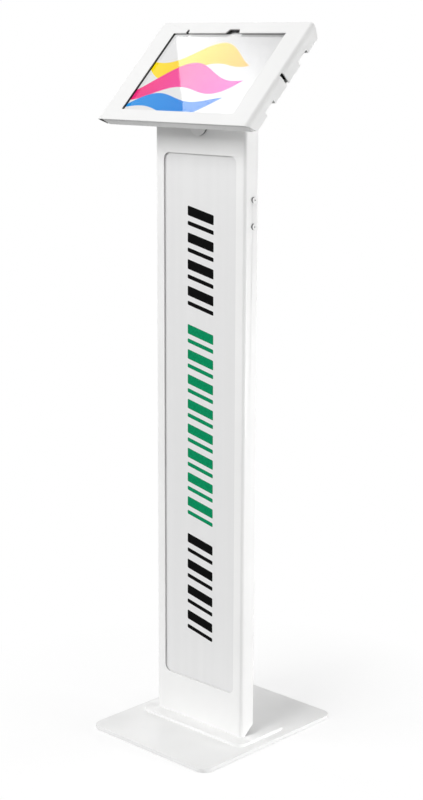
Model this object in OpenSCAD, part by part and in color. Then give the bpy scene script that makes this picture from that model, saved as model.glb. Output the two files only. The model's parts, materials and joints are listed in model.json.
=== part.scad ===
/* [Base] */
// Width of the floor plate, left to right
base_w = 252; // [220:1:320]
// Depth of the floor plate, front to back
base_d = 302; // [270:1:380]
// Thickness of the floor plate
base_t = 6; // [4:0.5:10]
// Corner radius of the floor plate
base_r = 18; // [8:1:30]
// Width of the foot plate under the column
foot_w = 222; // [205:1:240]
// Depth of the foot plate under the column
foot_d = 110; // [100:1:130]
// Thickness of the foot plate
foot_t = 5; // [4:0.5:8]
// Corner radius of the foot plate
foot_r = 17; // [6:1:20]
// Thickness of the rubber pads under the floor plate
pad_t = 1; // [0.5:0.5:4]
// Radius of the rubber pads
pad_r = 14; // [8:1:18]
// Pads in from the edges of the floor plate
pad_in = 8; // [4:1:16]
// Base screws in from the short sides of the foot plate
bolt_in_x = 31; // [14:0.5:60]
// Base screws in from the long sides of the foot plate
bolt_in_y = 19; // [12:0.5:30]

/* [Column] */
// Width of the folded column
col_w = 186.4; // [176:0.2:200]
// Depth of the folded column
col_d = 27.3; // [22:0.1:32]
// Height of the column above the foot plate
col_h = 963; // [900:1:1050]
// Sheet thickness of the column
col_s = 2; // [1.2:0.1:2.4]
// Outer bend radius of the column
col_r = 5.4; // [2.6:0.1:6]
// Column front ahead of the middle of the base
col_ahead = 33.8; // [31:0.1:38]
// Width of the window for the graphic
win_w = 150.2; // [120:0.2:152]
// Height of the window for the graphic
win_h = 835.4; // [700:0.2:840]
// Lower edge of the window above the foot plate
win_sill = 68; // [50:1:90]
// Corner radius of the window
win_r = 11; // [4:0.5:20]
// Height of the slanted cable cut at the lower rear corners
cut_h = 15; // [6:1:24]
// Depth of the slanted cable cut
cut_d = 19.5; // [8:0.5:21]
// Side screws behind the column front
side_y = 18.6; // [15.5:0.1:18.6]
// Upper side screw below the column top
side_z = 122.6; // [100:0.2:140]
// Spacing of the two side screws
side_gap = 39.2; // [30:0.2:50]
// Inner bracket beyond the side screws
brk_over = 20; // [10:0.5:26]
// Thickness of the rear panel
rear_t = 1.5; // [1:0.1:2]
// Width of the return lips at the rear
lip_w = 9; // [8:0.5:14]
// Rear screws in from the ends of the rear panel
rear_in = 20; // [8:1:60]

/* [Graphic insert] */
// Thickness of the insert sheet
ins_t = 3; // [1.5:0.1:3.4]
// Space between the column front and the insert
ins_gap = 1.2; // [0.8:0.1:2]
// Width of the guide strips beside the insert
guide_w = 3.4; // [3:0.1:8]
// Reach of the guide strips behind the insert
guide_lip = 4; // [2:0.1:6]
// Wall of the guide strips behind the insert
guide_s = 2; // [1:0.1:2.4]
// Radius of the half round pull tab
tab_r = 18; // [12:0.5:22]
// Thickness of the pull tab
tab_t = 3; // [2:0.1:4]
// Lowest point of the pull tab below the column top
tab_low = 32; // [28:0.5:36]
// Top of the insert below the column top
ins_top = 19.7; // [16:0.1:24]
// Cover of the insert below the window
ins_low = 10; // [6:0.5:20]

/* [Head] */
// Middle of the screen above the column top
head_rise = 61; // [56:0.5:90]
// Middle of the screen behind the column front
head_back = 5.9; // [2:0.1:14]
// Tilt of the screen from level
head_tilt = 45; // [38:0.5:52]
// Frame beyond the tablet at the short sides
frame_u = 30.2; // [27:0.1:40]
// Frame beyond the tablet at the long sides
frame_v = 10.7; // [10:0.1:18]
// Depth of the cover
cover_d = 22; // [20:0.5:23]
// Sheet thickness of the cover
cover_s = 2; // [1:0.1:2.2]
// Bend radius at the short sides
bend_u = 7; // [4:0.5:9]
// Inward slope of the ends of the short walls
slope = 24.5; // [10:0.5:26]
// Long walls of the tray in from the edges of the cover
wall_in = 2.7; // [1:0.1:4]
// Inward slope of the long walls of the tray
rake = 18; // [5:0.5:24]
// Open corners: long walls short of the cover's sides
corner_u = 7; // [4:0.1:20]
// Camera notch right of the middle
cam_u = 8.4; // [-40:0.1:40]
// Height of the camera notch
cam_h = 8; // [3:0.2:9]
// Width of the cable slit in the right wall
slit_w = 6; // [2:0.2:8]
// Length of the sound notches
notch_l = 24; // [10:1:36]
// Height of the sound notches
notch_h = 6.6; // [3:0.2:9]
// Depth of the sound notches into the tray
notch_d = 8.5; // [4:0.5:10]
// Middle of the sound notches from the cable slit
notch_v = 49; // [30:1:58]
// Sensor notch left of the middle
sens_u = 86; // [60:0.5:100]

/* [Tablet] */
// Length of the tablet
slab_w = 248.6; // [240:0.2:260]
// Height of the tablet
slab_h = 179.5; // [170:0.1:190]
// Thickness of the tablet with its glass
slab_t = 7; // [5.5:0.1:8.5]
// Corner radius of the tablet
slab_r = 17.5; // [8:0.5:22]
// Cover over the glass at the short sides
lip_u = 10.3; // [6:0.1:14]
// Cover over the glass at the long sides
lip_v = 10.5; // [9:0.1:14]
// Length of the foam pads behind the tablet
foam_w = 44; // [20:1:48]
// Height of the foam pads
foam_h = 24; // [12:1:36]
// Length of the blocks beside the tablet
block_l = 28; // [16:1:64]
// Width of the blocks beside the tablet
block_w = 24; // [6:0.5:25]
// Middle of the blocks in from the long sides of the tablet
block_in = 69; // [30:0.5:74]
// Cover posts beyond the short sides of the tablet
post_out = 19.3; // [16:0.1:21]
// Cover posts in from the long sides of the tablet
post_in = 14.4; // [10:0.1:30]

/* [Turning mount] */
// Spacing of the mounting screws
vesa = 100; // [100:1:110]
// Side of the turning plate
turn_w = 120; // [116:1:130]
// Thickness of the turning plate
turn_t = 3; // [2:0.5:4]
// Radius of the fixed neck plate
neck_r = 60; // [58:0.5:62]
// Thickness of the fixed neck plate
neck_t = 3; // [2:0.5:4]
// Outer radius of the hollow pivot
pivot_r = 11; // [9:0.5:12]
// Radius of the cable bore in the pivot
bore_r = 8; // [5:0.5:8]
// Running clearance of the pivot
pivot_fit = 0.06; // [0.02:0.01:0.1]
// Radius of the stop pin's path
stop_path = 42; // [40:0.5:48]
// Radius of the stop pin
stop_r = 3; // [2:0.5:4]
// Thickness of the neck cheeks
cheek_t = 3; // [2:0.5:5]
// Inner face of the neck cheeks from the middle
cheek_x = 40; // [38:0.5:44]
// Lower end of the cheeks on the neck plate, below its middle
cheek_low = 30; // [24:0.5:36]
// Upper end of the cheeks on the neck plate, above its middle
cheek_high = 36; // [24:0.5:40]

/* [Hidden] */
$fn = 72;
gap = 0.3;
e = 0.5;
// Levels of the base
base_z = pad_t;
foot_z = base_z + base_t;
floor_z = foot_z + foot_t;
top_z = floor_z + col_h;
front_y = -col_ahead;
back_y = front_y + col_d;
side_x = col_w / 2;
inner_x = side_x - col_s;
bolt_x = foot_w / 2 - bolt_in_x;
bolt_y = foot_d / 2 - bolt_in_y;
bolt_r = 3;
bolt_head_r = 6;
// Return lips of the column, set in by the rear panel
lip_y1 = back_y - rear_t;
lip_y0 = lip_y1 - col_s;
rear_z0 = floor_z + cut_h + 1;
rscr_x = inner_x - lip_w / 2;
rscr_z = [rear_z0 + rear_in, (rear_z0 + top_z) / 2, top_z - rear_in];
rscr_r = 1.5;
// Insert
ins_y0 = front_y + col_s + ins_gap;
ins_y1 = ins_y0 + ins_t;
guide_x1 = side_x - col_r - gap;
guide_x0 = guide_x1 - guide_w;
ins_x = guide_x0 - gap;
ins_z0 = floor_z + win_sill - ins_low;
ins_z1 = top_z - ins_top;
guide_y1 = ins_y1 + gap + guide_s;
stop_x = guide_x0 - guide_lip - gap;
stop_h = 5;
tab_mid = top_z - tab_low + tab_r;
tab_top = ins_z1 + tab_t;
tab_x = tab_r - 1;
clip_t = 1.6;
clip_l = 16;
// Bracket inside the column top
brk_s = 2;
brk_y0 = lip_y0 - brk_s;
scr_y = front_y + side_y;
scr_z1 = top_z - side_z;
scr_z0 = scr_z1 - side_gap;
brk_z0 = scr_z0 - brk_over;
brk_z1 = scr_z1 + brk_over;
scr_r = 2.5;
brk_lip = 7;
cap_r = 4.6;
cap_h = 2.4;
// Head frame: z runs out of the screen, y up the screen
head_y = front_y + head_back;
head_z = top_z + head_rise;
head_w = slab_w + 2 * frame_u;
head_h = slab_h + 2 * frame_v;
open_w = slab_w - 2 * lip_u;
open_h = slab_h - 2 * lip_v;
glass_z = -(cover_s + 2);
slab_z = glass_z - slab_t;
tray_t = 2;
tray_z = -cover_d;
tray_f = tray_z + tray_t;
// Tray: flat rear, long walls that slope out to just under the cover
tray_u = head_w / 2 - cover_s - 0.6;
wall_u = head_w / 2 - corner_u;
wall_z = -cover_s - 0.6;
wall_t = tray_t / cos(rake);
function wall_v(z) = head_h / 2 - wall_in - (wall_z - z) * tan(rake);
slit_top = 2.2;
cam_w = 14.3;
cam_s = 4.8;
sens_r = 2.4;
sens_h = 7;
post_u = slab_w / 2 + post_out;
post_v = slab_h / 2 - post_in;
post_r = 4;
m4 = 2;
foam_u = vesa / 2 + m4 + gap + foam_w / 2;
foam_v = slab_h / 2 - foam_h / 2 - 18;
block_v = slab_h / 2 - block_in;
// Turning mount levels
turn_z = tray_z - turn_t;
wash_t = 1;
wash_z = turn_z - gap - wash_t;
neck_z = wash_z - neck_t;
wave_z = neck_z - 1;
nut_t = 5;
nut_r = pivot_r + 6;
slot_r = stop_r + 0.5;
nut_z = wave_z - gap - nut_t;
tube_z = nut_z - 1;
// Where the neck plate's rear face meets a height on the face slope
function face_y(v) = head_y + v * cos(head_tilt) - neck_z * sin(head_tilt);
function face_z(v) = head_z + v * sin(head_tilt) + neck_z * cos(head_tilt);
cheek_y0 = guide_y1 + 1;

module rrect(w, h, r) {
  square([w - 2 * r, h], center = true);
  square([w, h - 2 * r], center = true);
  for (x = [-1, 1], y = [-1, 1])
    translate([x * (w / 2 - r), y * (h / 2 - r)]) circle(r);
}
module plate(w, h, t, r) {
  linear_extrude(t) rrect(w, h, r);
}
module rod(r, h) {
  cylinder(r = r, h = h);
}
module ring(ro, ri, h) {
  linear_extrude(h) difference() {
    circle(ro);
    circle(ri);
  }
}
// Round screw head: a cap of a sphere
module dome(r, h) {
  ball = (r * r + h * h) / (2 * h);
  intersection() {
    rod(r, h);
    translate([0, 0, h - ball]) sphere(ball);
  }
}
// Turns a rod from +Z to +X, or to +Y
module along_x() {
  rotate([0, 90, 0]) children();
}
module along_y() {
  rotate([-90, 0, 0]) children();
}
module at_head() {
  translate([0, head_y, head_z]) rotate([head_tilt, 0, 0]) children();
}
module four(x, y) {
  for (i = [-1, 1], j = [-1, 1]) translate([i * x, j * y, 0]) children();
}

// Floor plate with countersunk holes from below
module base_plate() {
  color("whitesmoke") difference() {
    translate([0, 0, base_z]) plate(base_w, base_d, base_t, base_r);
    four(bolt_x, bolt_y) {
      translate([0, 0, base_z - e]) rod(bolt_r + 0.3, base_t + 2 * e);
      translate([0, 0, base_z]) cylinder(r1 = bolt_head_r, r2 = bolt_r, h = bolt_head_r - bolt_r);
    }
  }
}
module rubber_pads() {
  color("dimgray") four(base_w / 2 - pad_r - pad_in, base_d / 2 - pad_r - pad_in) rod(pad_r, pad_t);
}
module foot_plate() {
  color("white") difference() {
    translate([0, 0, foot_z]) plate(foot_w, foot_d, foot_t, foot_r);
    four(bolt_x, bolt_y) translate([0, 0, foot_z - e]) rod(bolt_r, foot_t - 0.8 + e);
  }
}
module base_screws() {
  color("silver") four(bolt_x, bolt_y) {
    translate([0, 0, base_z]) cylinder(r1 = bolt_head_r, r2 = bolt_r, h = bolt_head_r - bolt_r);
    translate([0, 0, base_z + bolt_head_r - bolt_r - 0.01])
      rod(bolt_r, base_t + foot_t - 1 - bolt_head_r + bolt_r);
  }
}

// Folded column: front face with its window, two sides, return lips at the rear
module shell_section() {
  difference() {
    union() {
      translate([-side_x + col_r, front_y]) square([col_w - 2 * col_r, col_d]);
      translate([-side_x, front_y + col_r]) square([col_w, col_d - col_r]);
      for (i = [-1, 1]) translate([i * (side_x - col_r), front_y + col_r]) circle(col_r);
    }
    translate([-inner_x + col_r, front_y + col_s])
      square([2 * inner_x - 2 * col_r, lip_y0 - front_y - col_s]);
    translate([-inner_x, front_y + col_r]) square([2 * inner_x, lip_y0 - front_y - col_r]);
    for (i = [-1, 1]) translate([i * (side_x - col_r), front_y + col_r]) circle(col_r - col_s);
    translate([-side_x + col_r, front_y + col_s]) square([col_w - 2 * col_r, col_s]);
    translate([-inner_x + lip_w, lip_y0 - e])
      square([2 * inner_x - 2 * lip_w, rear_t + col_s + 2 * e]);
    translate([-inner_x, lip_y1]) square([2 * inner_x, rear_t + e]);
  }
}
module column_shell() {
  color("white") difference() {
    translate([0, 0, floor_z]) linear_extrude(col_h) shell_section();
    translate([0, front_y - e, floor_z + win_sill + win_h / 2]) rotate([-90, 0, 0])
      linear_extrude(col_s + 2 * e) rrect(win_w, win_h, win_r);
    translate([-tab_r - 1, front_y - e, ins_z1 - gap])
      cube([2 * tab_r + 2, col_s + 2 * e, ins_top + gap + e]);
    translate([-col_w, 0, 0]) rotate([90, 0, 90]) linear_extrude(2 * col_w)
      polygon([[back_y - cut_d, floor_z - e], [back_y - cut_d, floor_z],
        [back_y + e, floor_z + cut_h * (cut_d + e) / cut_d], [back_y + e, floor_z - e]]);
    for (z = [scr_z0, scr_z1]) translate([-col_w, scr_y, z]) along_x() rod(scr_r + 0.25, 2 * col_w);
    for (x = [-rscr_x, rscr_x], z = rscr_z)
      translate([x, lip_y0 - e, z]) along_y() rod(rscr_r, col_s + rear_t + 2 * e);
  }
}
// Sheet that closes the back of the column above the cable cut
module rear_panel() {
  color("white") difference() {
    translate([-inner_x + 0.4, lip_y1, rear_z0]) cube([2 * inner_x - 0.8, rear_t, top_z - rear_z0]);
    for (x = [-rscr_x, rscr_x], z = rscr_z)
      translate([x, lip_y1 - e, z]) along_y() rod(rscr_r + 0.2, rear_t + 2 * e);
  }
}
module rear_screws() {
  color("silver") for (x = [-rscr_x, rscr_x], z = rscr_z) translate([x, back_y, z]) along_y() {
    dome(2 * rscr_r, 1.2);
    translate([0, 0, -rear_t - col_s]) rod(rscr_r, rear_t + col_s + e);
  }
}
// Bent sheet across the column that the side screws hold
module neck_bracket() {
  color("silver") difference() {
    union() {
      translate([-inner_x, brk_y0, brk_z0]) cube([2 * inner_x, brk_s, brk_z1 - brk_z0]);
      for (x = [-inner_x, inner_x - brk_s]) translate([x, scr_y - brk_lip, brk_z0])
        cube([brk_s, lip_y0 - scr_y + brk_lip, brk_z1 - brk_z0]);
    }
    for (z = [scr_z0, scr_z1]) translate([-col_w, scr_y, z]) along_x() rod(scr_r, 2 * col_w);
  }
}
// Flat head screws in the column sides
module side_screws() {
  color("silver") for (i = [-1, 1], z = [scr_z0, scr_z1])
    translate([i * side_x, scr_y, z]) rotate([0, i * 90, 0]) {
      difference() {
        rod(cap_r, cap_h);
        translate([0, 0, cap_h / 2]) cylinder(r = 1.3, h = cap_h, $fn = 6);
      }
      translate([0, 0, -col_s - brk_s - 2]) rod(scr_r, col_s + brk_s + 2 + e);
    }
}

// Strip that guides one edge of the insert
module guide(side) {
  translate([0, 0, ins_z0 - gap - stop_h]) linear_extrude(ins_z1 - ins_z0) mirror([side, 0]) {
    translate([guide_x0, front_y + col_s]) square([guide_w, guide_y1 - front_y - col_s]);
    translate([guide_x0 - guide_lip, front_y + col_s]) square([guide_lip + e, ins_gap - gap]);
    translate([guide_x0 - guide_lip, guide_y1 - guide_s]) square([guide_lip + e, guide_s]);
  }
}
module guide_left() {
  color("lightgray") guide(1);
}
module guide_right() {
  color("lightgray") guide(0);
}
module insert_stop() {
  color("lightgray") translate([-stop_x, front_y + col_s, ins_z0 - gap - stop_h])
    cube([2 * stop_x, ins_y1 - front_y - col_s, stop_h]);
}
module graphic_insert() {
  color("gainsboro") translate([-ins_x, ins_y0, ins_z0]) cube([2 * ins_x, ins_t, ins_z1 - ins_z0]);
}
// Clip on tab: half round tongue before the column, bridge over the sheet, leg behind the insert
module pull_tab() {
  color("white") union() {
    translate([0, front_y - gap, tab_mid]) rotate([90, 0, 0]) linear_extrude(tab_t) intersection() {
      circle(tab_r);
      translate([-tab_r, -tab_r]) square([2 * tab_r, tab_top - tab_mid + tab_r]);
    }
    translate([-tab_x, front_y - gap - tab_t, ins_z1])
      cube([2 * tab_x, tab_t + gap + ins_y1 + clip_t - front_y, tab_top - ins_z1]);
    translate([-tab_x, ins_y1, ins_z1 - clip_l]) cube([2 * tab_x, clip_t, clip_l + e]);
  }
}

// Fixed round plate the head turns on, with the slot of the stop pin
module neck_plate() {
  color("gainsboro") at_head() difference() {
    translate([0, 0, neck_z]) rod(neck_r, neck_t);
    translate([0, 0, neck_z - e]) rod(pivot_r + pivot_fit, neck_t + 2 * e);
    translate([0, 0, neck_z - e]) rotate([0, 0, 225]) rotate_extrude(angle = 90)
      translate([stop_path - slot_r, 0]) square([2 * slot_r, neck_t + 2 * e]);
    for (a = [225, 315])
      rotate([0, 0, a]) translate([stop_path, 0, neck_z - e]) rod(slot_r, neck_t + 2 * e);
  }
}
// Gusset from the bracket up to the slanted neck plate
module cheek() {
  rotate([90, 0, 90]) linear_extrude(cheek_t) polygon([[cheek_y0, brk_z0], [brk_y0, brk_z0],
    [brk_y0, top_z + 2], [face_y(cheek_high), face_z(cheek_high)], [face_y(-cheek_low), face_z(-cheek_low)],
    [cheek_y0, top_z + 1]]);
}
module cheek_left() {
  color("gainsboro") translate([-cheek_x - cheek_t, 0, 0]) cheek();
}
module cheek_right() {
  color("gainsboro") translate([cheek_x, 0, 0]) cheek();
}
module slide_washer() {
  color("ivory") at_head() translate([0, 0, wash_z])
    ring(stop_path - stop_r - 3, pivot_r + gap, wash_t);
}
module wave_washer() {
  color("silver") at_head() translate([0, 0, wave_z]) ring(pivot_r + 5, pivot_r + gap, neck_z - wave_z);
}

// Square plate that turns with the head
module turn_plate() {
  color("silver") at_head() difference() {
    translate([0, 0, turn_z]) plate(turn_w, turn_w, turn_t, 8);
    translate([0, 0, turn_z - e]) rod(pivot_r, turn_t + 2 * e);
    four(vesa / 2, vesa / 2) {
      translate([0, 0, turn_z - e]) rod(m4 + 0.3, turn_t + 2 * e);
      translate([0, 0, turn_z]) sunk_head();
    }
  }
}
module pivot_tube() {
  color("silver") at_head() translate([0, 0, tube_z]) ring(pivot_r, bore_r, tray_z - tube_z);
}
module pivot_nut() {
  color("dimgray") at_head() translate([0, 0, nut_z]) difference() {
    rod(nut_r, nut_t);
    translate([0, 0, -e]) rod(pivot_r, nut_t + 2 * e);
    for (a = [0:60:300]) rotate([0, 0, a]) translate([nut_r, 0, -e]) rod(2, nut_t + 2 * e);
  }
}
module stop_pin() {
  color("silver") at_head() rotate([0, 0, 225]) translate([stop_path, 0, neck_z - 0.7])
    rod(stop_r, turn_z - neck_z + 0.7);
}
// Countersunk head, flush with the face it starts at
module sunk_head() {
  cylinder(r1 = 2 * m4, r2 = m4, h = m4);
}
module turn_screws() {
  color("silver") at_head() four(vesa / 2, vesa / 2) translate([0, 0, turn_z]) {
    sunk_head();
    translate([0, 0, m4 - 0.01]) rod(m4, turn_t + tray_t - m4 + 2);
  }
}

// Cross section of the tray through its long walls
module tray_section() {
  half = [[wall_v(tray_z), tray_z], [wall_v(wall_z), wall_z], [wall_v(wall_z) - wall_t, wall_z],
    [wall_v(tray_f) - wall_t, tray_f]];
  polygon(concat(half, [for (i = [3:-1:0]) [-half[i][0], half[i][1]]]));
}
// Rear of the enclosure: folded tray with long walls, notched where the sound comes out
module back_tray() {
  color("white") at_head() difference() {
    union() {
      rotate([90, 0, 90]) linear_extrude(2 * wall_u, center = true) tray_section();
      translate([0, 0, tray_z]) plate(2 * tray_u, 2 * wall_v(tray_f) - 2 * wall_t, tray_t, 2);
    }
    for (i = [-1, 1], j = [-1, 1])
      translate([i * tray_u, j * notch_v, tray_z + tray_t / 2])
        cube([2 * notch_d, notch_l, tray_t + 2 * e], center = true);
    translate([0, 0, tray_z - e]) rod(bore_r, tray_t + 2 * e);
    four(vesa / 2, vesa / 2) translate([0, 0, tray_z - e]) rod(m4, tray_t + 2 * e);
    four(post_u, post_v) translate([0, 0, tray_z - e]) rod(m4 + 0.3, tray_t + 2 * e);
  }
}
module tablet_pads() {
  color("dimgray") at_head() four(foam_u, foam_v) translate([0, 0, tray_f])
    plate(foam_w, foam_h, slab_z - tray_f, 3);
}
// Blocks that hold the tablet's short sides
module tablet_stops() {
  color("dimgray") at_head() four((slab_w + block_w) / 2, block_v) translate([0, 0, tray_f])
    plate(block_w, block_l, slab_z - tray_f + slab_t - 1.5, 2);
}
module tablet_body() {
  color("silver") at_head() difference() {
    translate([0, 0, slab_z]) plate(slab_w, slab_h, slab_t - 0.4, slab_r);
    translate([0, 0, glass_z - 0.8]) plate(slab_w - 2.4, slab_h - 2.4, 2, slab_r - 1.2);
    translate([0, 0, glass_z - 2]) plate(open_w + 2, open_h + 2, 3, 3);
    translate([slab_w / 2 - 6, 0, slab_z + 0.45 * slab_t]) rotate([90, 0, 90])
      linear_extrude(8) rrect(9, 3, 1.49);
  }
}
module tablet_display() {
  color("lightblue") at_head() translate([0, 0, glass_z - 2]) plate(open_w + 2, open_h + 2, 1.2, 3);
}
module tablet_glass() {
  color("black") at_head() translate([0, 0, glass_z - 0.8])
    plate(slab_w - 2.6, slab_h - 2.6, 0.8, slab_r - 1.3);
}

// Cross section of the cover through its short walls, shrunk by s
module section_u(s, d) {
  w = head_w - 2 * s;
  r = bend_u - s;
  translate([-w / 2 + r, -d]) square([w - 2 * r, d - s]);
  translate([-w / 2, -d]) square([w, d - s - r]);
  for (i = [-1, 1]) translate([i * (w / 2 - r), -s - r]) circle(r);
}
module cover_form(s, d) {
  rotate([90, 0, 0]) linear_extrude(head_h + 20, center = true) section_u(s, d);
}
// Side view of the cover: its ends slope in to the rear
module cover_side() {
  v = head_h / 2 - cover_d * tan(slope);
  polygon([[-head_h / 2, 0], [-v, -cover_d], [v, -cover_d], [head_h / 2, 0]]);
}
// Screen opening with the camera notch and the sensor notch in its upper edge
module screen_cut() {
  rrect(open_w, open_h, 1.5);
  translate([cam_u, open_h / 2])
    polygon([[-cam_w, -1], [-cam_w, 0], [cam_s - cam_w, cam_h], [cam_w - cam_s, cam_h], [cam_w, 0],
      [cam_w, -1]]);
  translate([-sens_u, open_h / 2 - 1]) {
    translate([-sens_r, 0]) square([2 * sens_r, sens_h + 1 - sens_r]);
    translate([0, sens_h + 1 - sens_r]) circle(sens_r);
  }
}
// Folded sheet cover: bent short walls with slanted ends, slit for the cable, sound notches
module front_cover() {
  color("white") at_head() difference() {
    intersection() {
      cover_form(0, cover_d);
      rotate([90, 0, 90]) linear_extrude(head_w + 20, center = true) cover_side();
    }
    cover_form(cover_s, cover_d + 1);
    translate([0, 0, -cover_s - e]) linear_extrude(cover_s + 2 * e) screen_cut();
    translate([head_w / 2 - bend_u + cover_s, -slit_w / 2, -cover_d - e])
      cube([bend_u, slit_w, cover_d + e - slit_top]);
    for (i = [-1, 1], j = [-1, 1])
      translate([i * (head_w / 2 - 2), j * notch_v, -cover_d + notch_h / 2 - e / 2])
        cube([8, notch_l, notch_h + e], center = true);
  }
}
module cover_posts() {
  color("silver") at_head() four(post_u, post_v) translate([0, 0, tray_f + gap])
    ring(post_r, m4 + 0.35, -cover_s - tray_f - gap);
}
module cover_gasket() {
  color("dimgray") at_head() translate([0, 0, glass_z + gap]) linear_extrude(-cover_s - glass_z - gap)
    difference() {
      rrect(slab_w - 4, slab_h - 1, slab_r - 2);
      rrect(open_w + 4, open_h + 4, 3);
      translate([cam_u - cam_w - 2, 0]) square([2 * cam_w + 4, open_h / 2 + cam_h + 2.5]);
      translate([-sens_u - sens_r - 2, 0]) square([2 * sens_r + 4, open_h / 2 + sens_h + 1.2]);
    }
}
// Tamper proof screws through the tray into the cover's posts
module cover_screws() {
  color("black") at_head() four(post_u, post_v) {
    difference() {
      translate([0, 0, tray_z - 2.2]) rod(4.2, 2.2);
      translate([0, 0, tray_z - 2.7]) cylinder(r = 1.7, h = 1.7, $fn = 6);
    }
    translate([0, 0, tray_z - e]) rod(m4, tray_t + 10);
  }
}

base_plate();
rubber_pads();
foot_plate();
base_screws();
column_shell();
rear_panel();
rear_screws();
neck_bracket();
side_screws();
guide_left();
guide_right();
insert_stop();
graphic_insert();
pull_tab();
neck_plate();
cheek_left();
cheek_right();
slide_washer();
wave_washer();
turn_plate();
pivot_tube();
pivot_nut();
stop_pin();
turn_screws();
back_tray();
tablet_pads();
tablet_stops();
tablet_body();
tablet_display();
tablet_glass();
front_cover();
cover_posts();
cover_gasket();
cover_screws();
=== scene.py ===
"""Looks of the tablet kiosk stand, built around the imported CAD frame."""
import json
import math
from collections import namedtuple

import bmesh
import bpy
from mathutils import Matrix, Vector


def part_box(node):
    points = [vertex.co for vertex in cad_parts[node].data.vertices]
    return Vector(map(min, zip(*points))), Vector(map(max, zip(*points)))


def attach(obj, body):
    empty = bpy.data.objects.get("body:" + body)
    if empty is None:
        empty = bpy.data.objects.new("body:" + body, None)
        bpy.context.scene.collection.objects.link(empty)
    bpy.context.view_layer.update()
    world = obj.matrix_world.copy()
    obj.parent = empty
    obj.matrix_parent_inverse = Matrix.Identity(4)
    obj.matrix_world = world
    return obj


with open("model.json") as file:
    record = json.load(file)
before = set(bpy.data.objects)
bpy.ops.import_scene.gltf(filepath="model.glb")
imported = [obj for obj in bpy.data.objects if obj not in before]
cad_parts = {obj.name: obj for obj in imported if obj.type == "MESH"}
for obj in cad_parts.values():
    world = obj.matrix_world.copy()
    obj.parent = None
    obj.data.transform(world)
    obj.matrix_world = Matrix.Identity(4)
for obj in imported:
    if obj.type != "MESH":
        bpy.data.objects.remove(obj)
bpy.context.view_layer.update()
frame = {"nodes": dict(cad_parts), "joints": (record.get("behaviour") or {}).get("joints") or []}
nodes = frame["nodes"]
scene = bpy.context.scene
MM = 0.001

# The head's own axes: across, up the slope, out of the screen
head_joint = next(j for j in frame["joints"] if j["name"] == "head_turn")
HEAD_AT = Vector(head_joint["pos_m"])
OUT = Vector(head_joint["axis"]).normalized()
ACROSS = Vector((1, 0, 0))
UP = OUT.cross(ACROSS)


# Camera of the photograph, 423 by 800 pixels; angles in degrees, lens and sensor in millimetres

CAM_AT = (1.6934, -1.7845, 1.0799)
CAM_TURN, CAM_DOWN, CAM_ROLL = 43.59, 12.47, 0.19
CAM_LENS, CAM_SENSOR = 73.04, 36
CAM_NEAR = 0.05


def make_camera():
    data = bpy.data.cameras.new("photo_camera")
    data.lens = CAM_LENS
    data.sensor_width = CAM_SENSOR
    data.clip_start = CAM_NEAR
    cam = bpy.data.objects.new("photo_camera", data)
    turn = Matrix.Rotation(math.radians(CAM_TURN), 4, "Z")
    down = Matrix.Rotation(math.radians(90 - CAM_DOWN), 4, "X")
    roll = Matrix.Rotation(math.radians(CAM_ROLL), 4, "Z")
    cam.matrix_world = Matrix.Translation(CAM_AT) @ turn @ down @ roll
    scene.collection.objects.link(cam)
    scene.camera = cam


# Materials: most have an uneven tone, an uneven gloss and a fine grain, all from noise.
# Noise scales are per metre, grain heights in metres. The stops are the noise values, or
# cosines for the rim, between which a change runs.

TONE_STOPS = (0.35, 0.65)
GLOSS_STOPS = (0.3, 0.7)
RIM_STOPS = (0.6, 0.8)


def shade(color, factor):
    return tuple(c * factor for c in color)


def grey(level):
    return (level, level, level)


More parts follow.
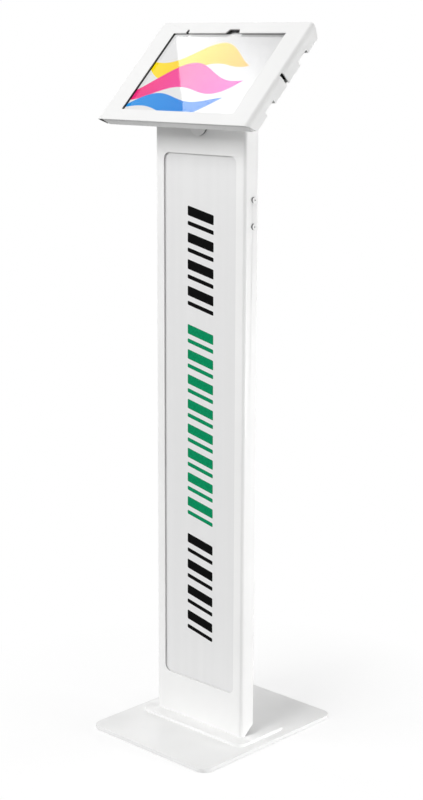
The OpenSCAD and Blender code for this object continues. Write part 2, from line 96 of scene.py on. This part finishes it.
class Paint:
    """A node material with helpers for its procedural detail."""

    def __init__(self, name, color, roughness, metallic=0.0, specular=0.5):
        self.color = color
        self.mat = bpy.data.materials.new(name)
        self.mat.use_nodes = True
        self.tree = self.mat.node_tree
        self.bsdf = self.tree.nodes["Principled BSDF"]
        self.base = self.bsdf.inputs["Base Color"]
        self.base.default_value = (*color, 1)
        self.bsdf.inputs["Roughness"].default_value = roughness
        self.bsdf.inputs["Metallic"].default_value = metallic
        self.bsdf.inputs["Specular IOR Level"].default_value = specular
        coords = self.node("ShaderNodeTexCoord").outputs
        self.coords = coords["Object"]
        self.normal = coords["Normal"]

    def node(self, kind, **values):
        n = self.tree.nodes.new(kind)
        for key, value in values.items():
            setattr(n, key, value)
        return n

    def link(self, a, b):
        self.tree.links.new(a, b)

    def noise(self, scale, detail, stretch=None):
        """Noise over the piece; stretch gives each axis its own scale."""
        n = self.node("ShaderNodeTexNoise")
        n.inputs["Scale"].default_value = scale
        n.inputs["Detail"].default_value = detail
        vector = self.coords
        if stretch:
            mapping = self.node("ShaderNodeMapping")
            mapping.inputs["Scale"].default_value = stretch
            self.link(vector, mapping.inputs["Vector"])
            vector = mapping.outputs["Vector"]
        self.link(vector, n.inputs["Vector"])
        return n.outputs["Fac"]

    def to_range(self, value, start, end, low=0.0, high=1.0):
        """Maps start..end to low..high, and holds those ends."""
        n = self.node("ShaderNodeMapRange")
        n.inputs["From Min"].default_value = start
        n.inputs["From Max"].default_value = end
        n.inputs["To Min"].default_value = low
        n.inputs["To Max"].default_value = high
        self.link(value, n.inputs["Value"])
        return n.outputs["Result"]

    def ramp(self, value, stops):
        n = self.node("ShaderNodeValToRGB")
        while len(n.color_ramp.elements) < len(stops):
            n.color_ramp.elements.new(0.5)
        for element, (position, color) in zip(n.color_ramp.elements, stops):
            element.position = position
            element.color = (*color, 1)
        self.link(value, n.inputs["Fac"])
        return n.outputs["Color"]

    def math(self, operation, *values):
        """A math node; its inputs are sockets or plain numbers."""
        n = self.node("ShaderNodeMath", operation=operation)
        for socket, value in zip(n.inputs, values):
            if isinstance(value, (int, float)):
                socket.default_value = value
            else:
                self.link(value, socket)
        return n.outputs["Value"]

    def mix(self, factor, a, b):
        """Mixes two colours, each a socket or a plain colour."""
        n = self.node("ShaderNodeMix", data_type="RGBA")
        self.link(factor, n.inputs["Factor"])
        for socket, value in zip((n.inputs[6], n.inputs[7]), (a, b)):
            if isinstance(value, tuple):
                socket.default_value = (*value, 1)
            else:
                self.link(value, socket)
        return n.outputs[2]

    def dot(self, vector, axis):
        n = self.node("ShaderNodeVectorMath", operation="DOT_PRODUCT")
        n.inputs[1].default_value = axis
        self.link(vector, n.inputs[0])
        return n.outputs["Value"]

    def along(self, axis):
        """Distance from the head's middle along an axis, in metres."""
        away = self.node("ShaderNodeVectorMath", operation="SUBTRACT")
        away.inputs[1].default_value = HEAD_AT
        self.link(self.coords, away.inputs[0])
        return self.dot(away.outputs["Vector"], axis)

    def leaning(self, axis):
        """Cosine between a face of the piece and an axis."""
        return self.dot(self.normal, axis)

    def facing(self, axis):
        """1 on faces square to an axis of the piece, 0 on the faces round its rim."""
        return self.to_range(self.math("ABSOLUTE", self.leaning(axis)), *RIM_STOPS)

    def mottled(self, dark, light, scale, detail, stretch=None):
        """A colour that wanders between two tones."""
        stops = zip(TONE_STOPS, (dark, light))
        return self.ramp(self.noise(scale, detail, stretch), list(stops))

    def tone(self, darkest, lightest, scale, detail, stretch=None):
        """Lets the material's colour wander between two shades of itself."""
        dark, light = shade(self.color, darkest), shade(self.color, lightest)
        self.link(self.mottled(dark, light, scale, detail, stretch), self.base)

    def gloss(self, low, high, scale, detail, stretch=None):
        """Lets the roughness wander between two values."""
        uneven = self.to_range(self.noise(scale, detail, stretch), *GLOSS_STOPS, low, high)
        self.link(uneven, self.bsdf.inputs["Roughness"])

    def grain(self, height, strength, scale, detail, stretch=None):
        b = self.node("ShaderNodeBump")
        b.inputs["Strength"].default_value = strength
        b.inputs["Distance"].default_value = height
        self.link(self.noise(scale, detail, stretch), b.inputs["Height"])
        self.link(b.outputs["Normal"], self.bsdf.inputs["Normal"])


WHITE = (0.87, 0.87, 0.865)
PLASTIC_WHITE = (0.85, 0.85, 0.845)
# Pull tab face: a lighter white than the coat, painted light for a lit face
TAB_PAINTED_LIGHT_WHITE = (0.95, 0.95, 0.945)


def coat(name):
    """White powder coat: orange peel of about a millimetre, faint cloudy tone, uneven gloss."""
    p = Paint(name, WHITE, roughness=0.42)
    p.tone(darkest=0.975, lightest=1.01, scale=9.0, detail=3.0)
    p.gloss(low=0.36, high=0.48, scale=24.0, detail=4.0)
    p.grain(height=0.00006, strength=0.55, scale=900.0, detail=2.0)
    return p


def mix_in_painted_shade(p, amount, dark):
    """Mixes painted shade, a darker tone, into a coat where amount is 1."""
    p.link(p.mix(amount, p.base.links[0].from_socket, dark), p.base)


# Depths behind the head's face at which the painted shade in the seam starts, and is full
SEAM_DEPTHS = (-0.0105, -0.0026)
SEAM_PAINTED_SHADE = 0.5


def tray_coat_painted_seam_shade():
    """Coat of the tray, with painted shade in the seam close under the cover's edge."""
    p = coat("tray_coat_painted_seam_shade")
    mix_in_painted_shade(p, p.to_range(p.along(OUT), *SEAM_DEPTHS), shade(WHITE, SEAM_PAINTED_SHADE))
    return p.mat


# Sideways place times sideways lean of a face: up to the first it looks inward, from the
# second on it does not
INWARD_STOPS = (-0.1, -0.03)
# Painted shade: dark grey on the inner side of the cover's bent walls
INNER_PAINTED_SHADE = grey(0.16)


def cover_coat_painted_inner_shade():
    """Coat of the cover, darkened as painted shade on the inner side of its bent walls."""
    p = coat("cover_coat_painted_inner_shade")
    outward = p.math("MULTIPLY", p.along(ACROSS), p.leaning(ACROSS))
    mix_in_painted_shade(p, p.to_range(outward, *INWARD_STOPS, low=1.0, high=0.0), INNER_PAINTED_SHADE)
    return p.mat


def zinc_steel():
    """Zinc-plated steel, brushed along one way with cloudy plating."""
    p = Paint("zinc_steel", (0.56, 0.56, 0.57), roughness=0.34, metallic=1.0)
    p.tone(darkest=0.86, lightest=1.1, scale=60.0, detail=4.0)
    p.gloss(low=0.26, high=0.44, scale=1.0, detail=3.0, stretch=(2500, 60, 60))
    p.grain(height=0.00002, strength=0.4, scale=1.0, detail=2.0, stretch=(3000, 80, 80))
    return p.mat


def black_oxide():
    p = Paint("black_oxide", (0.022, 0.022, 0.024), roughness=0.38, specular=0.6)
    p.tone(darkest=0.7, lightest=1.6, scale=700.0, detail=3.0)
    p.gloss(low=0.3, high=0.5, scale=420.0, detail=2.0)
    p.grain(height=0.00002, strength=0.4, scale=2200.0, detail=1.0)
    return p.mat


def rubber():
    p = Paint("pad_rubber", (0.028, 0.028, 0.029), roughness=0.82, specular=0.3)
    p.tone(darkest=0.75, lightest=1.4, scale=240.0, detail=4.0)
    p.gloss(low=0.74, high=0.9, scale=160.0, detail=2.0)
    p.grain(height=0.00008, strength=0.6, scale=1500.0, detail=3.0)
    return p.mat


def white_moulding():
    """Matte moulded plastic with a fine spark-eroded grain."""
    p = Paint("white_moulding", PLASTIC_WHITE, roughness=0.5, specular=0.45)
    p.tone(darkest=0.97, lightest=1.015, scale=35.0, detail=3.0)
    p.gloss(low=0.44, high=0.58, scale=90.0, detail=2.0)
    p.grain(height=0.00004, strength=0.6, scale=1900.0, detail=2.0)
    return p.mat


def tab_painted_rim_shade():
    """Pull tab in a lighter white than the coat, as painted light on its face; its rim is painted
    dark grey as shade.
    """
    white = TAB_PAINTED_LIGHT_WHITE
    p = Paint("tab_painted_rim_shade", white, roughness=0.5, specular=0.45)
    face = p.mottled(shade(white, 0.975), shade(white, 1.01), scale=60.0, detail=3.0)
    tab_rim_shade = p.mottled(grey(0.14), grey(0.20), scale=500.0, detail=3.0)
    p.link(p.mix(p.facing((0, 1, 0)), tab_rim_shade, face), p.base)
    p.gloss(low=0.44, high=0.58, scale=90.0, detail=2.0)
    p.grain(height=0.00004, strength=0.6, scale=1900.0, detail=2.0)
    return p.mat


def capped_steel_painted_rim_shade():
    """Screws lacquered white on top; the rim of each head is painted dark grey as shade."""
    white = PLASTIC_WHITE
    p = Paint("capped_steel_painted_rim_shade", white, roughness=0.42)
    face = p.mottled(shade(white, 0.97), shade(white, 1.01), scale=90.0, detail=3.0)
    # Painted shade: the dark grey rim stands in for the shadow beside each head
    rim = p.mottled((0.17, 0.17, 0.172), (0.25, 0.25, 0.252), scale=300.0, detail=3.0)
    p.link(p.mix(p.facing((1, 0, 0)), rim, face), p.base)
    p.gloss(low=0.38, high=0.5, scale=240.0, detail=3.0)
    p.grain(height=0.00003, strength=0.5, scale=1200.0, detail=2.0)
    return p.mat


def insert_sheet():
    """Satin plastic sheet with a faint extrusion streak up its length."""
    p = Paint("insert_sheet", grey(0.78), roughness=0.4, specular=0.45)
    p.tone(darkest=0.985, lightest=1.01, scale=1.0, detail=2.0, stretch=(60, 60, 1.5))
    p.gloss(low=0.34, high=0.47, scale=18.0, detail=3.0)
    p.grain(height=0.00002, strength=0.3, scale=700.0, detail=2.0)
    return p.mat


def print_ink(name, color):
    """Screen-printed ink, matte, a little uneven in density."""
    p = Paint(name, color, roughness=0.7, specular=0.03)
    p.tone(darkest=0.88, lightest=1.12, scale=300.0, detail=3.0)
    p.gloss(low=0.62, high=0.78, scale=140.0, detail=2.0)
    p.grain(height=0.00002, strength=0.3, scale=1400.0, detail=2.0)
    return p.mat


def foam():
    p = Paint("dark_foam", (0.035, 0.035, 0.037), roughness=0.92, specular=0.2)
    p.tone(darkest=0.55, lightest=1.5, scale=900.0, detail=4.0)
    p.gloss(low=0.86, high=0.97, scale=300.0, detail=2.0)
    p.grain(height=0.00025, strength=0.8, scale=1300.0, detail=4.0)
    return p.mat


# The tablet's floor under the glass: its depth, the tolerance on that, and the print on it
BORDER_DEPTH, BORDER_FIT = -0.0048, 0.0001
BORDER_INK = (0.05, 0.05, 0.052)


def blasted_aluminium():
    """Silver tablet shell; its floor under the glass carries the dark border print."""
    silver = (0.74, 0.74, 0.75)
    p = Paint("blasted_aluminium", silver, roughness=0.36, metallic=1.0)
    metal = p.mottled(shade(silver, 0.93), shade(silver, 1.05), scale=1200.0, detail=2.0)
    border = p.math("COMPARE", p.along(OUT), BORDER_DEPTH, BORDER_FIT)
    p.link(p.mix(border, metal, BORDER_INK), p.base)
    p.link(p.math("SUBTRACT", 1.0, border), p.bsdf.inputs["Metallic"])
    p.gloss(low=0.32, high=0.42, scale=600.0, detail=2.0)
    p.grain(height=0.00002, strength=0.5, scale=3000.0, detail=1.0)
    return p.mat


def screen_glass():
    """Clear coated glass over the display: only its weak gloss shows."""
    p = Paint("screen_glass", (1, 1, 1), roughness=0.02)
    p.bsdf.inputs["Transmission Weight"].default_value = 1.0
    p.bsdf.inputs["IOR"].default_value = 1.22
    p.gloss(low=0.01, high=0.035, scale=30.0, detail=4.0)
    return p.mat


# Screen picture, in metres from the middle of the screen. A ribbon runs from its first to its
# last colour along a line through middle, with its own rise, and sways about that line.
Ribbon = namedtuple("Ribbon", "first last middle rise swing wave shift half length")
RIBBONS = [
    Ribbon((1.0, 0.80, 0.0), (0.98, 0.42, 0.0), middle=0.024, rise=0.08,
           swing=0.015, wave=38.0, shift=0.4, half=0.024, length=0.108),
    Ribbon((0.90, 0.01, 0.16), (0.92, 0.06, 0.50), middle=-0.019, rise=0.15,
           swing=0.017, wave=33.0, shift=1.9, half=0.025, length=0.116),
    Ribbon((0.0, 0.30, 0.80), (0.0, 0.19, 0.72), middle=-0.062, rise=0.10,
           swing=0.012, wave=36.0, shift=3.4, half=0.017, length=0.098),
]
RIBBON_AT = -0.028
RIBBON_SOFT = 0.0006
GROUND_LEAN = 0.45
GROUND_RUN = (0.015, 0.13)
GROUND_STOPS = [(0.0, grey(0.79)), (0.5, grey(0.56)), (1.0, grey(0.34))]
ROW_WAVE, ROW_DEPTH = 24000.0, 0.006


def screen_picture():
    """Lit display: a pale ground, greyer to one corner, with three tapering ribbons."""
    p = Paint("screen_picture", (0.01, 0.01, 0.012), roughness=0.35, specular=0.0)
    u = p.along(ACROSS)
    v = p.along(UP)
    slope = p.math("MULTIPLY_ADD", u, GROUND_LEAN, v)
    picture = p.ramp(p.to_range(slope, *GROUND_RUN), GROUND_STOPS)
    run = p.math("SUBTRACT", u, RIBBON_AT)
    for r in RIBBONS:
        wave = p.math("SINE", p.math("MULTIPLY_ADD", run, r.wave, r.shift))
        middle = p.math("MULTIPLY_ADD", run, r.rise, r.middle)
        line = p.math("ADD", middle, p.math("MULTIPLY", wave, r.swing))
        reach = p.math("DIVIDE", run, r.length)
        taper = p.math("SUBTRACT", 1.0, p.math("MULTIPLY", reach, reach))
        width = p.math("MULTIPLY", taper, r.half)
        inside = p.math("SUBTRACT", width, p.math("ABSOLUTE", p.math("SUBTRACT", v, line)))
        mask = p.to_range(inside, 0.0, RIBBON_SOFT)
        tint = p.mix(p.to_range(reach, -1.0, 1.0), r.first, r.last)
        picture = p.mix(mask, picture, tint)
    rows = p.math("SINE", p.math("MULTIPLY", v, ROW_WAVE))
    glow = p.math("MULTIPLY_ADD", rows, ROW_DEPTH, 1.0)
    p.link(picture, p.bsdf.inputs["Emission Color"])
    p.link(glow, p.bsdf.inputs["Emission Strength"])
    p.gloss(low=0.3, high=0.4, scale=400.0, detail=2.0)
    return p.mat


COATED = ["base_plate", "foot_plate", "column_shell", "rear_panel", "cheek_left", "cheek_right",
          "neck_plate"]
STEEL = ["base_screws", "rear_screws", "neck_bracket", "wave_washer", "turn_plate", "pivot_tube",
         "pivot_nut", "stop_pin", "turn_screws", "cover_posts"]
MOULDED = ["guide_left", "guide_right", "insert_stop", "slide_washer"]
FOAM = ["tablet_pads", "tablet_stops", "cover_gasket"]


def wear(names, material):
    for name in names:
        mesh = nodes[name].data
        mesh.materials.clear()
        mesh.materials.append(material)


def dress_nodes():
    wear(COATED, coat("white_powder_coat").mat)
    wear(["back_tray"], tray_coat_painted_seam_shade())
    wear(["front_cover"], cover_coat_painted_inner_shade())
    wear(STEEL, zinc_steel())
    wear(MOULDED, white_moulding())
    wear(["pull_tab"], tab_painted_rim_shade())
    wear(["side_screws"], capped_steel_painted_rim_shade())
    wear(FOAM, foam())
    wear(["cover_screws"], black_oxide())
    wear(["rubber_pads"], rubber())
    wear(["graphic_insert"], insert_sheet())
    wear(["tablet_body"], blasted_aluminium())
    wear(["tablet_glass"], screen_glass())
    wear(["tablet_display"], screen_picture())


# Edges: most sheets, plates, screws and pads have a small broken edge, by its width in millimetres

EDGES = {
    0.9: ["base_plate", "foot_plate"],
    0.35: ["column_shell", "front_cover", "pull_tab", "neck_plate", "turn_plate", "cheek_left",
           "cheek_right", "back_tray", "tablet_body", "rubber_pads", "pivot_nut"],
    0.25: ["rear_panel", "neck_bracket", "graphic_insert", "guide_left", "guide_right",
           "insert_stop", "side_screws", "rear_screws", "cover_screws", "cover_posts",
           "pivot_tube", "stop_pin"],
    0.8: ["tablet_pads", "tablet_stops"],
}
EDGE_ANGLE = math.radians(35)
EDGE_STEPS = 2
# Also in millimetres: points this close are joined first; the glass loses this much all round
WELD = 0.005
GLASS_THINNED = 0.02


def break_edges():
    for size, names in EDGES.items():
        for name in names:
            piece = nodes[name]
            weld = piece.modifiers.new("weld", "WELD")
            weld.merge_threshold = WELD * MM
            edge = piece.modifiers.new("edge", "BEVEL")
            edge.width = size * MM
            edge.segments = EDGE_STEPS
            edge.limit_method = "ANGLE"
            edge.angle_limit = EDGE_ANGLE
            edge.use_clamp_overlap = True
            edge.harden_normals = False
            even = piece.modifiers.new("even", "WEIGHTED_NORMAL")
            even.keep_sharp = True
    thin = nodes["tablet_glass"].modifiers.new("thin", "DISPLACE")
    thin.strength = -GLASS_THINNED * MM
    thin.mid_level = 0.0


# Print on the graphic insert: slanted bars in place of lettering, in millimetres

PRINT_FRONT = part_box("graphic_insert")[0][1] / MM
PRINT_LEAN = math.tan(math.radians(12))
INK_SUNK, INK_PROUD = 0.02, 0.1
BAR_REACH = 27
BAR_CORNER, CORNER_STEPS = 1.6, 5
# Each cell holds two bars: place as a share of the cell, half height
CELL_BARS = [(0.17, 7.4), (-0.29, 3.2)]
# Groups of cells: lower end, upper end, number of cells
BLACK_GROUPS = [(675, 838, 4), (153, 323, 4)]
GREEN_GROUPS = [(343, 656, 8)]
BLACK_INK = (0.0025, 0.0025, 0.0026)
GREEN_INK = (0.003, 0.255, 0.105)


def bar_outline(z, half):
    """Corners of a slanted bar with rounded ends."""
    points = []
    for side, end, start in ((1, 1, 0), (-1, 1, 90), (-1, -1, 180), (1, -1, 270)):
        cx = side * (BAR_REACH - BAR_CORNER)
        cz = end * (half - BAR_CORNER)
        for i in range(CORNER_STEPS + 1):
            a = math.radians(start + 90 * i / CORNER_STEPS)
            x = cx + BAR_CORNER * math.cos(a)
            points.append((x, z + cz + BAR_CORNER * math.sin(a) - PRINT_LEAN * x))
    return points


def bars_in(groups):
    """Place and half height of every bar in some groups."""
    bars = []
    for low, high, cells in groups:
        pitch = (high - low) / cells
        for i in range(cells):
            middle = low + pitch * (i + 0.5)
            bars += [(middle + pitch * place, half) for place, half in CELL_BARS]
    return bars


def print_piece(name, bars, material):
    """Thin ink film on the insert's front face, in one mesh."""
    bm = bmesh.new()
    for z, half in bars:
        outline = bar_outline(z, half)
        back, front = ([bm.verts.new((x * MM, y * MM, h * MM)) for x, h in outline]
                       for y in (PRINT_FRONT + INK_SUNK, PRINT_FRONT - INK_PROUD))
        bm.faces.new(front)
        bm.faces.new(back[::-1])
        for i in range(len(outline)):
            j = (i + 1) % len(outline)
            bm.faces.new((front[j], front[i], back[i], back[j]))
    bmesh.ops.recalc_face_normals(bm, faces=bm.faces)
    mesh = bpy.data.meshes.new(name)
    bm.to_mesh(mesh)
    bm.free()
    mesh.materials.append(material)
    piece = bpy.data.objects.new(name, mesh)
    scene.collection.objects.link(piece)
    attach(piece, "insert")


def print_graphic():
    print_piece("print_black", bars_in(BLACK_GROUPS), print_ink("black_ink", BLACK_INK))
    print_piece("print_green", bars_in(GREEN_GROUPS), print_ink("green_ink", GREEN_INK))


# Studio, in metres

FLOOR_HALF = 15
# Floor as the camera sees it: its colour under the lamps, and a glow that makes it white
FLOOR_SEEN, FLOOR_GLOW = 0.36, 0.68
# Floor as the object sees it: how much light it throws back, near the object and away from it
BOUNCE_NEAR, BOUNCE_FAR = 0.58, 0.42
FLOOR_FADE = (0.2, 0.5)
AMBIENT = 0.22


def seen_rays(tree):
    """1 for rays from the camera, off gloss and through glass, 0 for those off matt faces."""
    path = tree.nodes.new("ShaderNodeLightPath").outputs
    seen = path["Is Camera Ray"]
    for ray in ("Is Glossy Ray", "Is Transmission Ray"):
        either = tree.nodes.new("ShaderNodeMath")
        either.operation = "MAXIMUM"
        tree.links.new(seen, either.inputs[0])
        tree.links.new(path[ray], either.inputs[1])
        seen = either.outputs["Value"]
    return seen


def make_floor():
    """White floor that keeps the object's shadow and runs out into a white backdrop."""
    mesh = bpy.data.meshes.new("floor")
    r = FLOOR_HALF
    mesh.from_pydata([(-r, -r, 0), (r, -r, 0), (r, r, 0), (-r, r, 0)], [], [(0, 1, 2, 3)])
    floor = bpy.data.objects.new("floor", mesh)
    scene.collection.objects.link(floor)
    p = Paint("studio_floor", grey(FLOOR_SEEN), roughness=0.9, specular=0.0)
    seen = seen_rays(p.tree)
    away = p.node("ShaderNodeVectorMath", operation="LENGTH")
    p.link(p.coords, away.inputs[0])
    fade = p.to_range(away.outputs["Value"], *FLOOR_FADE)
    bounce = p.mix(fade, grey(BOUNCE_NEAR), grey(BOUNCE_FAR))
    p.link(p.mix(seen, bounce, grey(FLOOR_SEEN)), p.base)
    p.bsdf.inputs["Emission Color"].default_value = (1, 1, 1, 1)
    p.link(p.math("MULTIPLY", seen, FLOOR_GLOW), p.bsdf.inputs["Emission Strength"])
    backdrop = p.node("ShaderNodeEmission")
    backdrop.inputs["Color"].default_value = (1, 1, 1, 1)
    surface = p.node("ShaderNodeMixShader")
    p.link(p.math("MULTIPLY", seen, fade), surface.inputs["Fac"])
    p.link(p.bsdf.outputs["BSDF"], surface.inputs[1])
    p.link(backdrop.outputs["Emission"], surface.inputs[2])
    p.link(surface.outputs["Shader"], p.tree.nodes["Material Output"].inputs["Surface"])
    mesh.materials.append(p.mat)


def make_world():
    """Faint even light; the camera, gloss and glass see plain white."""
    world = bpy.data.worlds.new("studio")
    world.use_nodes = True
    tree = world.node_tree
    sky = tree.nodes["Background"]
    white = tree.nodes.new("ShaderNodeBackground")
    for background, strength in ((sky, AMBIENT), (white, 1.0)):
        background.inputs["Color"].default_value = (1, 1, 1, 1)
        background.inputs["Strength"].default_value = strength
    surface = tree.nodes.new("ShaderNodeMixShader")
    tree.links.new(seen_rays(tree), surface.inputs["Fac"])
    tree.links.new(sky.outputs["Background"], surface.inputs[1])
    tree.links.new(white.outputs["Background"], surface.inputs[2])
    tree.links.new(surface.outputs["Shader"], tree.nodes["World Output"].inputs["Surface"])
    scene.world = world


# Area lamps: place, the point each looks at, side, watts and spread in degrees
Lamp = namedtuple("Lamp", "name at target size power spread", defaults=(180,))
MIDDLE = (0, 0, 0.6)
LAMPS = [
    Lamp("front", (0, -4.05, 3.54), MIDDLE, size=2.4, power=141),
    Lamp("front_left", (-2.77, -3.54, 2.79), MIDDLE, size=2.4, power=70),
    Lamp("front_low", (-0.35, -1.3, 0.15), (0, 0, 0.1), size=0.25, power=0.19, spread=75),
    Lamp("right_rear", (1.75, 0.9, 0.25), (0, 0, 0.25), size=0.5, power=26.6),
    Lamp("rear_right", (2.02, 3.5, 3.54), MIDDLE, size=2.4, power=38),
    Lamp("rear_left", (-3.82, 3.21, 0.95), MIDDLE, size=2.4, power=36),
]


def hang(lamp):
    data = bpy.data.lights.new(lamp.name, "AREA")
    data.energy = lamp.power
    data.size = lamp.size
    data.spread = math.radians(lamp.spread)
    obj = bpy.data.objects.new(lamp.name, data)
    obj.location = lamp.at
    aim = Vector(lamp.target) - Vector(lamp.at)
    obj.rotation_euler = aim.to_track_quat("-Z", "Y").to_euler()
    scene.collection.objects.link(obj)


# Soft box mirrored in the screen: two points of its straight edge, one on its far side, its
# size, and its brightness as the glass shows it
GLARE_EDGE = (Vector((-2.1469, 0.047, 3.1336)), Vector((-2.1271, -0.2074, 3.146)))
GLARE_SIDE = Vector((-1.8876, 0.0514, 3.3832))
GLARE_LENGTH, GLARE_WIDTH = 0.36, 0.42
GLARE_LEVEL = 4.6


def glare_box():
    """Soft box over the screen: its edge parts the clear from the washed-out half."""
    along = (GLARE_EDGE[0] - GLARE_EDGE[1]).normalized()
    inward = GLARE_SIDE - GLARE_EDGE[0]
    inward = (inward - along * inward.dot(along)).normalized()
    facing = along.cross(inward)
    if facing.dot(HEAD_AT - GLARE_SIDE) < 0:
        facing = -facing
    middle = (GLARE_EDGE[0] + GLARE_EDGE[1]) / 2 + inward * GLARE_WIDTH / 2
    data = bpy.data.lights.new("screen_box", "AREA")
    data.shape = "RECTANGLE"
    data.size = GLARE_WIDTH
    data.size_y = GLARE_LENGTH
    data.energy = GLARE_LEVEL * math.pi * GLARE_WIDTH * GLARE_LENGTH
    box = bpy.data.objects.new("screen_box", data)
    turn = Matrix((facing.cross(along) * -1, along, -facing)).transposed()
    if turn.determinant() < 0:
        turn.col[0] = -turn.col[0]
    box.matrix_world = Matrix.Translation(middle) @ turn.to_4x4()
    scene.collection.objects.link(box)


def make_studio():
    make_floor()
    make_world()
    for lamp in LAMPS:
        hang(lamp)
    glare_box()
    scene.view_settings.view_transform = "Standard"


make_camera()
dress_nodes()
break_edges()
print_graphic()
make_studio()
